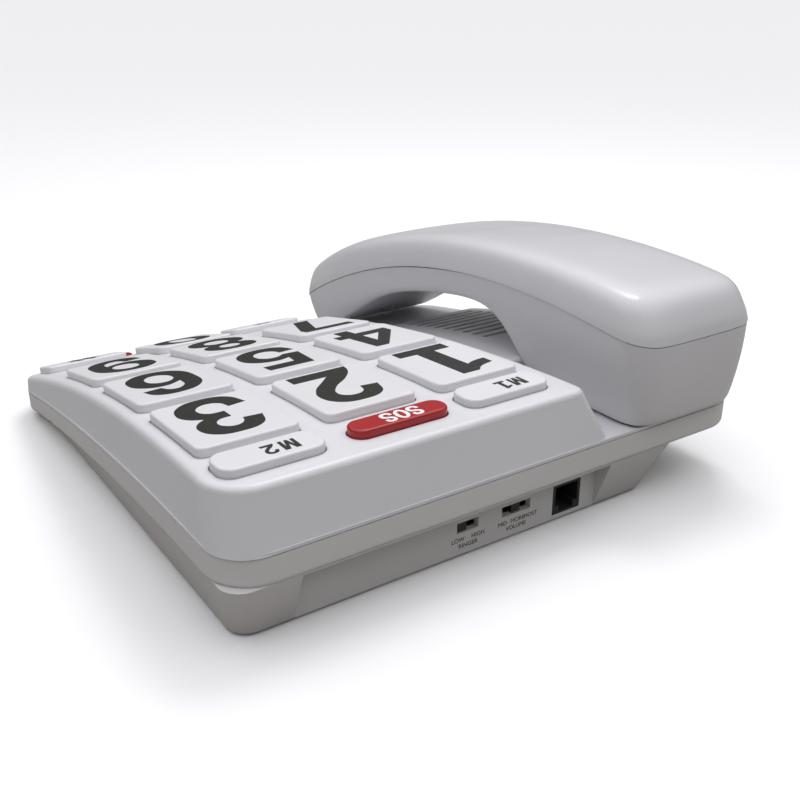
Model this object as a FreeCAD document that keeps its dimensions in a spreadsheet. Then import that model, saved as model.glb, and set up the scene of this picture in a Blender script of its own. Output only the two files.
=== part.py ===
import FreeCAD, Part
import Sketcher
import math
import os

# Corded telephone with big keys. Millimetres, +Z up, the user sits at -Y, +X is the user's right.
# The origin is the middle of the whole object's outline, on the surface it stands on.

Vector = FreeCAD.Vector
Rotation = FreeCAD.Rotation
Placement = FreeCAD.Placement
doc = FreeCAD.newDocument("CordedPhone")
sheet = doc.addObject("Spreadsheet::Sheet", "Dimensions")
sub_parts = []


# ---------------------------------------------------------------- driving dimensions

DIMENSIONS = [
    # base outline and the arcs that its long surfaces follow, each an apex at the back and a radius
    ("base_left", -100.0), ("base_right", 100.0), ("base_front", -97.5), ("base_back", 104.7),
    ("base_corner", 15.0), ("wall", 2.4), ("rim_round", 2.0), ("stand_round", 1.2),
    ("seam_groove", 0.36), ("seam_groove_depth", 0.5),
    ("seam_apex_y", 102.2), ("seam_apex_z", 28.1), ("seam_radius", 1013.0),
    ("underside_apex_z", 18.8), ("underside_radius", 1108.0),
    ("deck_apex_y", 97.3), ("deck_apex_z", 46.65), ("deck_radius", 584.0), ("deck_wall", 2.5),
    ("deck_edge_round", 2.2), ("seam_chord_angle", 5.5),
    # raised keypad block of the upper housing
    ("block_left_low", -35.6), ("block_left_top", -26.4), ("block_right_top", 98.3),
    ("block_back_top", 101.9), ("block_front_top", -96.0), ("block_height", 19.0),
    ("block_tight_corner", 4.0),
    # cradle beside it
    ("cradle_floor_rise", 1.2), ("cradle_floor_depth", 1.4), ("shoulder_left", -37.8),
    ("shoulder_drop", 7.0), ("bridge_left", -96.5), ("bridge_front", -46.0),
    ("bridge_back", 50.0), ("bridge_corner", 3.0), ("bridge_wall", 2.4), ("bridge_round", 1.5),
    ("slot_pitch", 6.5), ("slot_width", 2.6), ("slot_left", -89.0), ("slot_right", -53.0),
    ("slot_first", -37.0), ("slot_last", 16.0),
    # pedestal under the slab
    ("stand_left_low", -62.2), ("stand_right_low", 95.0), ("stand_front_low", -78.0),
    ("stand_back_low", 97.4), ("stand_left_top", -68.9), ("stand_right_top", 98.9),
    ("stand_front_top", -84.0), ("stand_back_top", 104.2), ("stand_base_z", 0.8),
    ("stand_top_z", 19.0), ("stand_corner", 7.0), ("panel_left", -36.6), ("panel_right", 77.4),
    # keys
    ("key_width", 31.9), ("key_length", 37.6), ("key_corner", 3.0), ("key_rise", 2.6),
    ("zero_key_length", 34.9), ("zero_key_y", -73.6), ("small_key_y", -82.0),
    ("key_pitch_x", 40.0), ("key_pitch_y", 44.3), ("key_column_x", 37.4), ("key_row_y", 58.5),
    ("small_key_length", 19.0), ("memory_key_length", 12.2), ("memory_key_corner", 4.6),
    ("memory_key_y", 87.2), ("call_key_width", 33.0), ("call_key_length", 8.7),
    ("call_key_corner", 4.2), ("call_key_y", 88.0), ("call_key_x", 36.2),
    ("key_body", 5.7), ("key_flange", 1.2), ("key_flange_edge", 1.2), ("key_round", 0.8),
    ("key_gap", 0.35), ("key_travel", 2.0),
    ("dome_depth", 9.3), ("mat_depth", 10.3), ("mat_thickness", 1.0), ("film_thickness", 1.0),
    ("dome_round", 5.0),
    # screws, feet, boards
    ("post_round", 2.9), ("screw_round", 1.4), ("screw_head_round", 2.7), ("screw_head", 1.8),
    ("screw_fit", 0.05), ("foot_round", 6.0), ("board_thickness", 1.6), ("board_z", 8.0),
    ("keypad_screw_reach", 6.0), ("cradle_screw_reach", 2.2),
    ("lens_round", 2.2), ("lens_x", 55.9), ("lens_y", -92.0),
    # sockets and switches in the back panel
    ("line_jack_x", -24.05), ("line_jack_width", 12.1), ("line_jack_low", 2.6),
    ("line_jack_height", 10.8), ("jack_depth", 14.0), ("socket_depth", 12.0),
    ("line_socket_width", 9.7), ("line_socket_height", 6.9), ("latch_width", 6.2),
    ("latch_height", 2.2), ("cord_jack_y", 70.0), ("cord_jack_width", 10.6),
    ("cord_jack_height", 9.6), ("cord_socket_width", 7.7), ("cord_socket_height", 6.2),
    ("cord_latch_width", 3.6), ("cord_latch_height", 1.9), ("jack_gap", 0.1),
    ("ringer_slot_x", 16.85), ("ringer_slot_width", 8.3), ("volume_slot_x", -2.45),
    ("volume_slot_width", 11.7), ("switch_slot_z", 10.6), ("switch_slot_height", 3.6),
    ("knob_width", 3.4), ("knob_height", 2.8), ("knob_gap", 0.4),
    ("ringer_throw", 4.0), ("volume_throw", 3.4),
    # hook plunger
    ("plunger_x", -54.6), ("plunger_y", 88.0), ("plunger_width", 7.0), ("plunger_length", 5.0),
    ("plunger_top", 29.1), ("plunger_foot", 19.0), ("plunger_flange", 1.5), ("plunger_gap", 0.4),
    # handset, in its own frame: Y along its length, Z away from the cradle
    ("handset_x", -68.6), ("handset_y", -0.9), ("handset_z", 45.0), ("handset_tilt", 10.0),
    ("handset_half", 112.0), ("handset_boss_top", 8.9), ("handset_post_low", 9.0),
    ("ear_hole_round", 1.0), ("mouth_hole_round", 0.9),
    ("handset_width", 59.5), ("handset_corner", 18.0), ("handset_wall", 2.2),
    ("handset_top", 29.2), ("handset_top_radius", 476.0), ("handset_top_round", 8.0),
    ("parting_top", 15.2), ("parting_radius", 289.0), ("parting_gap", 0.15),
    ("grip_underside", 3.0), ("ear_block_start", 49.0), ("ear_block_low", -34.0),
    ("ear_block_start_low", -24.6), ("ear_end_low", 105.0), ("mouth_block_low", -16.9),
    ("mouth_block_start", -86.0), ("mouth_slope_start", -42.0), ("mouth_end_low", -107.0), ("end_widest", -5.0),
    ("end_top", 97.0),
]
for row_number, (name, number) in enumerate(DIMENSIONS, start=1):
    sheet.set(f"A{row_number}", name)
    sheet.set(f"B{row_number}", str(number))
    sheet.setAlias(f"B{row_number}", name)
doc.recompute()


def size(name):
    """One driving dimension as a number."""
    return float(sheet.get(name))


def keep(piece, label):
    """Give a sub-part the name that its file takes, and list it for writing."""
    piece.Label = label
    sub_parts.append(piece)
    return piece


def keep_shape(label, shape, placement=None):
    """A sub-part whose shape needs Part's own functions."""
    piece = doc.addObject("Part::Feature", "Shape_" + label)
    refined = shape.removeSplitter()
    piece.Shape = refined if refined.isValid() else shape
    if placement is not None:
        piece.Placement = placement
    return keep(piece, label)


# ---------------------------------------------------------------- shared shape functions

def arc_height(apex_y, apex_z, radius, y):
    """Height of a long surface arc at y."""
    return apex_z - radius + math.sqrt(radius ** 2 - (y - apex_y) ** 2)


def deck_arc(drop):
    """The keypad deck's arc, lowered along its own normal by drop."""
    return (size("deck_apex_y"), size("deck_apex_z") - drop, size("deck_radius") - drop)


def seam_arc(rise):
    return (size("seam_apex_y"), size("seam_apex_z") + rise, size("seam_radius"))


def underside_arc(rise):
    return (size("seam_apex_y"), size("underside_apex_z") + rise, size("underside_radius"))


LOW_ARC = (0.0, -10.0, 100000.0)


def arc_edge(arc, start_y, end_y):
    """An arc in the YZ plane from start_y to end_y."""
    points = []
    for y in (start_y, (start_y + end_y) / 2, end_y):
        points.append(Vector(0, y, arc_height(*arc, y)))
    return Part.Arc(*points).toShape()


def band(low, high, x_range, y_range):
    """The solid between two long arcs, over a range of X and Y."""
    low_edge = arc_edge(low, *y_range)
    high_edge = arc_edge(high, y_range[1], y_range[0])
    back = Part.LineSegment(low_edge.Vertexes[-1].Point, high_edge.Vertexes[0].Point).toShape()
    front = Part.LineSegment(high_edge.Vertexes[-1].Point, low_edge.Vertexes[0].Point).toShape()
    face = Part.Face(Part.Wire([low_edge, back, high_edge, front]))
    face.translate(Vector(x_range[0], 0, 0))
    return face.extrude(Vector(x_range[1] - x_range[0], 0, 0))


def outline(x_range, y_range, corner, z):
    """A rounded rectangle as a wire at height z."""
    (left, right), (front, back) = x_range, y_range
    cut = corner * (1 - math.sqrt(0.5))
    corners = [
        ((right - corner, front), (right - cut, front + cut), (right, front + corner)),
        ((right, back - corner), (right - cut, back - cut), (right - corner, back)),
        ((left + corner, back), (left + cut, back - cut), (left, back - corner)),
        ((left, front + corner), (left + cut, front + cut), (left + corner, front)),
    ]
    edges = []
    for index, trio in enumerate(corners):
        start, middle, end = [Vector(x, y, z) for x, y in trio]
        edges.append(Part.Arc(start, middle, end).toShape())
        following = corners[(index + 1) % 4][0]
        edges.append(Part.LineSegment(end, Vector(following[0], following[1], z)).toShape())
    return Part.Wire(edges)


def prism(x_range, y_range, corner, low=-20.0, high=90.0):
    """An upright block with a rounded outline."""
    return Part.Face(outline(x_range, y_range, corner, low)).extrude(Vector(0, 0, high - low))


def shrink(limits, inset):
    return (limits[0] + inset, limits[1] - inset)


def block(x_range, y_range, z_range):
    """A plain rectangular solid."""
    spans = [limits[1] - limits[0] for limits in (x_range, y_range, z_range)]
    return Part.makeBox(*spans, Vector(x_range[0], y_range[0], z_range[0]))


def round_edges(shape, radius, wanted):
    """Round the edges whose middle point satisfies wanted."""
    edges = []
    for edge in shape.Edges:
        middle = edge.valueAt((edge.FirstParameter + edge.LastParameter) / 2)
        if wanted(middle):
            edges.append(edge)
    return shape.makeFillet(radius, edges)


BASE_X = (size("base_left"), size("base_right"))
BASE_Y = (size("base_front"), size("base_back"))
ALL_X = (-130.0, 130.0)
ALL_Y = (-130.0, 130.0)


# ---------------------------------------------------------------- key places

def key_place(x, y):
    """Placement of a key: its origin is the middle of its top face, tilted with the deck."""
    arc = deck_arc(-size("key_rise"))
    tilt = math.degrees(math.asin((arc[0] - y) / arc[2]))
    return Placement(Vector(x, y, arc_height(*arc, y)), Rotation(Vector(1, 0, 0), tilt))


def key_table():
    """Name, X, Y, width, length and corner radius aliases of every key."""
    keys = []
    columns = [size("key_column_x") + step * size("key_pitch_x") for step in (-1, 0, 1)]
    rows = [size("key_row_y") - step * size("key_pitch_y") for step in range(3)]
    for row_index in range(3):
        for column_index in range(3):
            digit = 3 * row_index + column_index + 1
            keys.append((f"key_{digit}", columns[column_index], rows[row_index],
                         "key_width", "key_length", "key_corner"))
    small_y = size("small_key_y")
    keys.append(("key_star", columns[0], small_y, "key_width", "small_key_length", "key_corner"))
    keys.append(("key_0", columns[1], size("zero_key_y"),
                 "key_width", "zero_key_length", "key_corner"))
    keys.append(("key_hash", columns[2], small_y, "key_width", "small_key_length", "key_corner"))
    for label, column in (("key_memory_1", 0), ("key_memory_2", 2)):
        keys.append((label, columns[column], size("memory_key_y"),
                     "key_width", "memory_key_length", "memory_key_corner"))
    keys.append(("key_emergency", size("call_key_x"), size("call_key_y"),
                 "call_key_width", "call_key_length", "call_key_corner"))
    return keys


KEYS = key_table()
KEYPAD_POSTS = [(57.4, 36.35), (57.4, -52.25)]
CRADLE_POSTS = [(-50.0, 54.0), (-50.0, -40.0)]


def key_hole(x, y, width, length, corner, grow):
    """The straight hole that a key needs through the deck, larger by grow on each side."""
    half_x = size(width) / 2 + grow
    half_y = size(length) / 2 + grow
    hole = prism((-half_x, half_x), (-half_y, half_y), size(corner) + grow * 0.5, -9.0, 9.0)
    hole.Placement = key_place(x, y)
    return hole


# ---------------------------------------------------------------- upper housing

def tapered_block(inset, low, high, corner):
    """The keypad block's drafted sides, leaning with the seam, between heights low and high."""
    rise = size("block_height")

    def section(height):
        part_up = height / rise
        left = size("block_left_low") + part_up * (size("block_left_top") - size("block_left_low"))
        right = size("base_right") + part_up * (size("block_right_top") - size("base_right"))
        front = size("base_front") + part_up * (size("block_front_top") - size("base_front"))
        back = size("base_back") + part_up * (size("block_back_top") - size("base_back"))
        return outline((left + inset, right - inset), (front + inset, back - inset),
                       corner - inset, height)

    solid = Part.makeLoft([section(low), section(high)], True, True)
    hinge = Vector(0, size("base_back"), 0)
    solid.rotate(hinge, Vector(1, 0, 0), size("seam_chord_angle"))
    solid.translate(Vector(0, 0, size("seam_apex_z")))
    return solid


def seam_groove():
    """The thin groove that both housings leave round their joint."""
    half = size("seam_groove") / 2
    depth = size("seam_groove_depth")
    ring = prism(shrink(BASE_X, -1), shrink(BASE_Y, -1), size("base_corner") + 1)
    ring = ring.cut(prism(shrink(BASE_X, depth), shrink(BASE_Y, depth), size("base_corner") - depth))
    return ring.common(band(seam_arc(-half), seam_arc(half), ALL_X, ALL_Y))


def upper_housing():
    floor_rise = size("cradle_floor_rise")
    soft_corner = size("base_corner") - 1.5
    keypad = tapered_block(0, -14, 26, soft_corner)
    cradle_corner = tapered_block(0, -14, 26, size("block_tight_corner"))
    keypad = keypad.fuse(cradle_corner.common(block((-130, 20), (0, 130), (-130, 130))))
    keypad = keypad.common(band(seam_arc(0), deck_arc(0), ALL_X, ALL_Y)).removeSplitter()
    deck = deck_arc(0)
    keypad = round_edges(keypad, size("deck_edge_round"),
                         lambda p: abs(arc_height(*deck, p.y) - p.z) < 0.02)
    plate = prism(BASE_X, BASE_Y, size("base_corner"))
    plate = plate.common(band(seam_arc(0), seam_arc(floor_rise), ALL_X, ALL_Y))
    inset = size("wall") + 0.2
    tongue = prism(shrink(BASE_X, inset), shrink(BASE_Y, inset), size("base_corner") - inset)
    tongue = tongue.common(band(seam_arc(-size("cradle_floor_depth")), seam_arc(0), ALL_X, ALL_Y))
    shoulder = prism((size("shoulder_left"), 0), (-94.0, 103.0), 1.0)
    shoulder = shoulder.common(band(seam_arc(0), deck_arc(size("shoulder_drop")), ALL_X, ALL_Y))
    bridge_x = (size("bridge_left"), 0)
    bridge_y = (size("bridge_front"), size("bridge_back"))
    bridge_top = deck_arc(size("shoulder_drop"))
    bridge = prism(bridge_x, bridge_y, size("bridge_corner"))
    bridge = bridge.common(band(seam_arc(0), bridge_top, ALL_X, ALL_Y))
    bridge = round_edges(bridge, size("bridge_round"),
                         lambda p: abs(arc_height(*bridge_top, p.y) - p.z) < 0.02)
    shape = keypad.fuse([plate, tongue, shoulder, bridge])
    shape = shape.cut(seam_groove())
    hollow = tapered_block(size("wall"), -20, 26, soft_corner)
    hollow = hollow.common(band(LOW_ARC, deck_arc(size("deck_wall")), ALL_X, ALL_Y))
    bridge_wall = size("bridge_wall")
    bridge_room = prism((bridge_x[0] + bridge_wall + 1.0, size("block_left_low")),
                        shrink(bridge_y, bridge_wall), size("bridge_corner") - 1.0)
    bridge_ceiling = deck_arc(size("shoulder_drop") + bridge_wall)
    bridge_room = bridge_room.common(band(LOW_ARC, bridge_ceiling, ALL_X, ALL_Y))
    shape = shape.cut([hollow, bridge_room])
    cuts = []
    slot_y = size("slot_first")
    while slot_y < size("slot_last"):
        cuts.append(block((size("slot_left"), size("slot_right")),
                          (slot_y, slot_y + size("slot_width")), (10, 40)))
        slot_y += size("slot_pitch")
    for _, x, y, width, length, corner in KEYS:
        cuts.append(key_hole(x, y, width, length, corner, size("key_gap")))
    cuts.append(Part.makeCylinder(size("lens_round") + 0.1, 30,
                                  Vector(size("lens_x"), size("lens_y"), 0)))
    half_x = size("plunger_width") / 2 + size("plunger_gap")
    half_y = size("plunger_length") / 2 + size("plunger_gap")
    plunger = (size("plunger_x"), size("plunger_y"))
    cuts.append(block((plunger[0] - half_x, plunger[0] + half_x),
                      (plunger[1] - half_y, plunger[1] + half_y), (15, 40)))
    shape = shape.cut(cuts)
    posts = []
    for x, y in KEYPAD_POSTS + CRADLE_POSTS:
        if (x, y) in KEYPAD_POSTS:
            over = deck_arc(1)
        elif y < size("bridge_back"):
            over = deck_arc(size("shoulder_drop") + 1)
        else:
            over = seam_arc(0.5)
        top = arc_height(*over, y)
        low = post_joint(x, y)
        post = Part.makeCylinder(size("post_round"), top - low, Vector(x, y, low))
        hole = Part.makeCylinder(size("screw_round") + size("screw_fit"), screw_reach(x, y) + 0.4,
                                 Vector(x, y, low))
        posts.append(post.cut(hole))
    return shape.fuse(posts)


def screw_reach(x, y):
    """How far a screw goes into its upper post."""
    return size("keypad_screw_reach") if (x, y) in KEYPAD_POSTS else size("cradle_screw_reach")


def post_joint(x, y):
    """Height at which an upper post stands on the lower housing's boss."""
    return arc_height(*underside_arc(4.5), y)


keep_shape("upper_housing", upper_housing())


# ---------------------------------------------------------------- lower housing and pedestal

def stand_form(inset, floor):
    """The pedestal's drafted form, from floor up to the slab."""
    def section(height):
        span = size("stand_top_z") - size("stand_base_z")
        part_up = (height - size("stand_base_z")) / span

        def between(low, top):
            return size(low) + part_up * (size(top) - size(low))

        left = between("stand_left_low", "stand_left_top") + inset
        right = between("stand_right_low", "stand_right_top") - inset
        front = between("stand_front_low", "stand_front_top") + inset
        back = between("stand_back_low", "stand_back_top") - inset
        corner = size("stand_corner") if inset == 0 else size("base_corner") - inset - 1.0
        return outline((left, right), (front, back), corner, height)

    return Part.makeLoft([section(floor), section(size("stand_top_z") + 4)], True, True)


def lower_housing():
    wall = size("wall")
    rim = prism(BASE_X, BASE_Y, size("base_corner"))
    rim = rim.common(band(underside_arc(0), seam_arc(0), ALL_X, ALL_Y))
    under = underside_arc(0)
    rim = rim.cut(seam_groove())
    rim = round_edges(rim, size("rim_round"), lambda p: abs(arc_height(*under, p.y) - p.z) < 0.02)
    stand = stand_form(0, size("stand_base_z"))
    stand = round_edges(stand, size("stand_round"), lambda p: p.z < size("stand_base_z") + 0.02)
    stand = stand.common(band(LOW_ARC, underside_arc(0.6), ALL_X, ALL_Y))
    shape = rim.fuse(stand)
    panel_x = (size("panel_left"), size("panel_right"))
    panel_y = size("stand_back_low")
    recess = block(panel_x, (panel_y, panel_y + 20), (-5, 30))
    recess = recess.common(band(LOW_ARC, underside_arc(0), ALL_X, ALL_Y))
    shape = shape.cut(recess)
    rim_room = prism(shrink(BASE_X, wall), shrink(BASE_Y, wall), size("base_corner") - wall)
    rim_room = rim_room.common(band(underside_arc(wall), seam_arc(2), ALL_X, ALL_Y))
    stand_room = stand_form(wall, size("stand_base_z") + wall)
    stand_room = stand_room.common(band(LOW_ARC, underside_arc(wall + 0.4), ALL_X, ALL_Y))
    panel_wall = block(shrink(panel_x, -wall), (panel_y - wall, panel_y + 20), (-5, 30))
    stand_room = stand_room.cut(panel_wall)
    shape = shape.cut([rim_room, stand_room])
    cuts = [line_jack_space(size("jack_gap")), cord_jack_space(size("jack_gap"))]
    slot_low = size("switch_slot_z") - size("switch_slot_height") / 2
    slot_z = (slot_low, slot_low + size("switch_slot_height"))
    for switch in ("ringer", "volume"):
        centre = size(switch + "_slot_x")
        half = size(switch + "_slot_width") / 2
        cuts.append(block((centre - half, centre + half), (panel_y - wall - 1, panel_y + 1), slot_z))
    shape = shape.cut(cuts)
    for x, y in KEYPAD_POSTS + CRADLE_POSTS:
        low = size("stand_base_z")
        joint = post_joint(x, y)
        boss = Part.makeCylinder(size("post_round") + 1.4, joint - low, Vector(x, y, low))
        shape = shape.fuse(boss)
        head_top = joint - 3.0
        well = Part.makeCylinder(size("screw_head_round") + 0.3, head_top - low + 1,
                                 Vector(x, y, low - 1))
        hole = Part.makeCylinder(size("screw_round") + 0.2, 12, Vector(x, y, head_top - 1))
        shape = shape.cut([well, hole])
    return shape


def line_jack_space(grow):
    """The space of the line jack's body in the back panel, larger by grow on each side."""
    half = size("line_jack_width") / 2 - 0.1 + grow
    low = size("line_jack_low") + 0.1 - grow
    high = size("line_jack_low") + size("line_jack_height") - 0.1 + grow
    back = size("stand_back_low")
    return block((size("line_jack_x") - half, size("line_jack_x") + half),
                 (back - size("jack_depth"), back), (low, high))


def cord_jack_space(grow):
    """The space of the handset cord's jack in the pedestal's left flank."""
    half = size("cord_jack_width") / 2 + grow
    low = 4.4 - grow
    return block((-68.0, -50.0), (size("cord_jack_y") - half, size("cord_jack_y") + half),
                 (low, low + size("cord_jack_height") + 2 * grow))


keep_shape("lower_housing", lower_housing())


# ---------------------------------------------------------------- keys

def bound(sketch, constraint, expression):
    """Add a driving constraint and bind its value to the sheet."""
    index = sketch.addConstraint(constraint)
    sketch.setExpression(f"Constraints[{index}]", expression)


def rounded_sketch(body, name, width, length, corner, grow="0", offset="0"):
    """A centred rounded rectangle whose sizes come from the sheet."""
    sketch = body.newObject("Sketcher::SketchObject", name)
    plane = [item for item in body.Origin.OriginFeatures if item.Role == "XY_Plane"][0]
    sketch.AttachmentSupport = [(plane, "")]
    sketch.MapMode = "FlatFace"
    sketch.setExpression("AttachmentOffset.Base.z", offset)
    grown = size(grow[len("Dimensions."):]) if grow != "0" else 0
    half_x = size(width) / 2 + grown
    half_y = size(length) / 2 + grown
    radius = size(corner)
    up = Vector(0, 0, 1)
    centre_x = half_x - radius
    centre_y = half_y - radius
    sides = [((-centre_x, -half_y), (centre_x, -half_y)), ((half_x, -centre_y), (half_x, centre_y)),
             ((centre_x, half_y), (-centre_x, half_y)), ((-half_x, centre_y), (-half_x, -centre_y))]
    for start, end in sides:
        sketch.addGeometry(Part.LineSegment(Vector(*start, 0), Vector(*end, 0)), False)
    turns = [(centre_x, -centre_y, -90), (centre_x, centre_y, 0),
             (-centre_x, centre_y, 90), (-centre_x, -centre_y, 180)]
    for x, y, start in turns:
        circle = Part.Circle(Vector(x, y, 0), up, radius)
        arc = Part.ArcOfCircle(circle, math.radians(start), math.radians(start + 90))
        sketch.addGeometry(arc, False)
    for index in range(4):
        sketch.addConstraint(Sketcher.Constraint("Tangent", index, 2, 4 + index, 1))
        sketch.addConstraint(Sketcher.Constraint("Tangent", 4 + index, 2, (index + 1) % 4, 1))
    for index in (0, 2):
        sketch.addConstraint(Sketcher.Constraint("Horizontal", index))
    for index in (1, 3):
        sketch.addConstraint(Sketcher.Constraint("Vertical", index))
    for index in (5, 6, 7):
        sketch.addConstraint(Sketcher.Constraint("Equal", 4, index))
    sketch.addConstraint(Sketcher.Constraint("Symmetric", 4, 3, 6, 3, -1, 1))
    reach = f"Dimensions.{width} / 2 + {grow}"
    bound(sketch, Sketcher.Constraint("Radius", 4, radius), f"Dimensions.{corner}")
    bound(sketch, Sketcher.Constraint("DistanceX", -1, 1, 1, 1, half_x), reach)
    bound(sketch, Sketcher.Constraint("DistanceY", -1, 1, 2, 1, half_y),
          f"Dimensions.{length} / 2 + {grow}")
    return sketch


def padded(body, sketch, name, length):
    """Pad a sketch upwards by an expression."""
    pad = body.newObject("PartDesign::Pad", name)
    pad.Profile = sketch
    pad.setExpression("Length", length)
    sketch.Visibility = False
    return pad


def make_key(label, x, y, width, length, corner):
    """A key: a flange that the deck holds down, the cap above it, and a softened top edge."""
    body = doc.addObject("PartDesign::Body", "Body_" + label)
    flange_low = "-(Dimensions.key_body + Dimensions.key_flange)"
    flange = rounded_sketch(body, "FlangeOutline_" + label, width, length, corner,
                            "Dimensions.key_flange_edge", flange_low)
    padded(body, flange, "Flange_" + label, "Dimensions.key_flange")
    cap = rounded_sketch(body, "CapOutline_" + label, width, length, corner, "0", flange_low)
    cap_pad = padded(body, cap, "Cap_" + label, "Dimensions.key_body + Dimensions.key_flange")
    doc.recompute()
    top_edges = []
    for index, edge in enumerate(cap_pad.Shape.Edges, start=1):
        if all(abs(vertex.Z) < 1e-6 for vertex in edge.Vertexes):
            top_edges.append(f"Edge{index}")
    rounding = body.newObject("PartDesign::Fillet", "Rounding_" + label)
    rounding.Base = (cap_pad, top_edges)
    rounding.setExpression("Radius", "Dimensions.key_round")
    body.Placement = key_place(x, y)
    return keep(body, label)


for key in KEYS:
    make_key(*key)


# ---------------------------------------------------------------- keypad mat and contact film

def curved_sheet(depth, thickness):
    """A sheet under the keys, parallel to the deck."""
    low = deck_arc(depth + thickness - size("key_rise"))
    high = deck_arc(depth - size("key_rise"))
    sheet_shape = prism((-22.5, 95.5), (-90.0, 96.0), 11.0)
    sheet_shape = sheet_shape.common(band(low, high, ALL_X, ALL_Y))
    holes = []
    for x, y in KEYPAD_POSTS:
        holes.append(Part.makeCylinder(size("post_round") + 0.6, 90, Vector(x, y, -10)))
    return sheet_shape.cut(holes)


def keypad_mat():
    """A silicone sheet with one low dome under each key."""
    shape = curved_sheet(size("mat_depth"), size("mat_thickness"))
    domes = []
    for _, x, y, _, length, _ in KEYS:
        radius = min(size("dome_round"), size(length) / 2 - 0.6)
        height = size("mat_depth") - size("dome_depth") + 0.5
        dome = Part.makeCylinder(radius, height, Vector(0, 0, -size("mat_depth") - 0.5))
        dome.Placement = key_place(x, y)
        domes.append(dome)
    for dome in domes:
        shape = shape.fuse(dome)
    return shape


keep_shape("keypad_mat", keypad_mat())
keep_shape("keypad_contact_film", curved_sheet(size("mat_depth") + size("mat_thickness") + 0.1,
                                               size("film_thickness")))


# ---------------------------------------------------------------- Part primitives bound to the sheet

def bind_place(piece, x, y, z):
    for axis, expression in zip("xyz", (x, y, z)):
        piece.setExpression(f"Placement.Base.{axis}", expression)
    return piece


def box(name, spans, corner):
    """A Part::Box: spans and its low corner as expressions."""
    piece = doc.addObject("Part::Box", name)
    for prop, expression in zip(("Length", "Width", "Height"), spans):
        piece.setExpression(prop, expression)
    return bind_place(piece, *corner)


def cylinder(name, radius, height, base, rotation=None):
    """A Part::Cylinder: radius, height and base centre as expressions."""
    piece = doc.addObject("Part::Cylinder", name)
    if rotation is not None:
        piece.Placement = Placement(Vector(0, 0, 0), rotation)
    piece.setExpression("Radius", radius)
    piece.setExpression("Height", height)
    return bind_place(piece, *base)


def cut(name, base, tool):
    piece = doc.addObject("Part::Cut", name)
    piece.Base = base
    piece.Tool = tool
    return piece


def fuse(name, pieces):
    piece = doc.addObject("Part::MultiFuse", name)
    piece.Shapes = pieces
    return piece


# Indicator lamp's lens, set in the deck by the front edge.
lens_low = "Dimensions.deck_apex_z - 36.4"
keep(cylinder("IndicatorLens", "Dimensions.lens_round", "5.6",
              ("Dimensions.lens_x", "Dimensions.lens_y", lens_low)), "indicator_lens")

# Main circuit board on the pedestal's floor.
board = box("BoardBlank", ("112", "140", "Dimensions.board_thickness"),
            ("-44", "-60", "Dimensions.board_z"))
board_holes = fuse("BoardHoles", [
    cylinder(f"BoardHole{index}", "Dimensions.post_round + 2", "20",
             (f"{x}", f"{y}", "0")) for index, (x, y) in enumerate(KEYPAD_POSTS)])
keep(cut("BoardCut", board, board_holes), "main_circuit_board")

# Sounder of the ringer, below the grille in the cradle's bridge.
keep(cylinder("Sounder", "11", "5", ("-50.5", "16", "12")), "ringer_sounder")

# Switch under the hook plunger.
keep(box("HookSwitchBody", ("12.8", "6.5", "7.5"),
         ("Dimensions.plunger_x - 6", "Dimensions.plunger_y - 3.2", "7")), "hook_switch")

# Hook plunger: a stem that the resting handset holds down, with a flange that keeps it in.
stem = box("PlungerStem", ("Dimensions.plunger_width", "Dimensions.plunger_length",
                           "Dimensions.plunger_top - Dimensions.plunger_foot"),
           ("Dimensions.plunger_x - Dimensions.plunger_width / 2",
            "Dimensions.plunger_y - Dimensions.plunger_length / 2", "Dimensions.plunger_foot"))
stem_top = doc.addObject("Part::Fillet", "PlungerStemRounded")
stem_top.Base = stem
doc.recompute()
stem_edges = []
for index, edge in enumerate(stem.Shape.Edges, start=1):
    if all(abs(vertex.Z - size("plunger_top")) < 1e-6 for vertex in edge.Vertexes):
        stem_edges.append((index, 1.0, 1.0))
stem_top.Edges = stem_edges
flange = box("PlungerFlange", ("Dimensions.plunger_width + 4", "Dimensions.plunger_length + 4",
                               "Dimensions.plunger_flange"),
             ("Dimensions.plunger_x - Dimensions.plunger_width / 2 - 2",
              "Dimensions.plunger_y - Dimensions.plunger_length / 2 - 2",
              "Dimensions.plunger_foot"))
keep(fuse("PlungerFuse", [stem_top, flange]), "hook_plunger")


# ---------------------------------------------------------------- slide switches in the back panel

def slide_switch(label, centre, slot, knob_label):
    """A switch case behind the panel and the knob that slides in the panel's slot."""
    panel = "Dimensions.stand_back_low"
    case_width = f"Dimensions.{slot} + 2"
    case = box("Case_" + label, (case_width, "4.5", "Dimensions.switch_slot_height + 2"),
               (f"Dimensions.{centre} - (Dimensions.{slot} + 2) / 2",
                f"{panel} - Dimensions.wall - 4.7",
                "Dimensions.switch_slot_z - Dimensions.switch_slot_height / 2 - 1"))
    channel = box("Channel_" + label, (f"Dimensions.{slot}", "2.5", "Dimensions.switch_slot_height"),
                  (f"Dimensions.{centre} - Dimensions.{slot} / 2",
                   f"{panel} - Dimensions.wall - 2.5",
                   "Dimensions.switch_slot_z - Dimensions.switch_slot_height / 2"))
    keep(cut("CaseCut_" + label, case, channel), label)
    offset = "Dimensions.ringer_throw / 2" if slot == "ringer_slot_width" else "0"
    knob = box("Knob_" + label, ("Dimensions.knob_width", "Dimensions.wall + 1.6",
                                 "Dimensions.knob_height"),
               (f"Dimensions.{centre} + {offset} - Dimensions.knob_width / 2",
                f"{panel} - Dimensions.wall - 2",
                "Dimensions.switch_slot_z - Dimensions.knob_height / 2"))
    keep(knob, knob_label)


slide_switch("ringer_switch_case", "ringer_slot_x", "ringer_slot_width", "ringer_switch_knob")
slide_switch("volume_switch_case", "volume_slot_x", "volume_slot_width", "volume_switch_knob")


# ---------------------------------------------------------------- jacks

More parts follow.
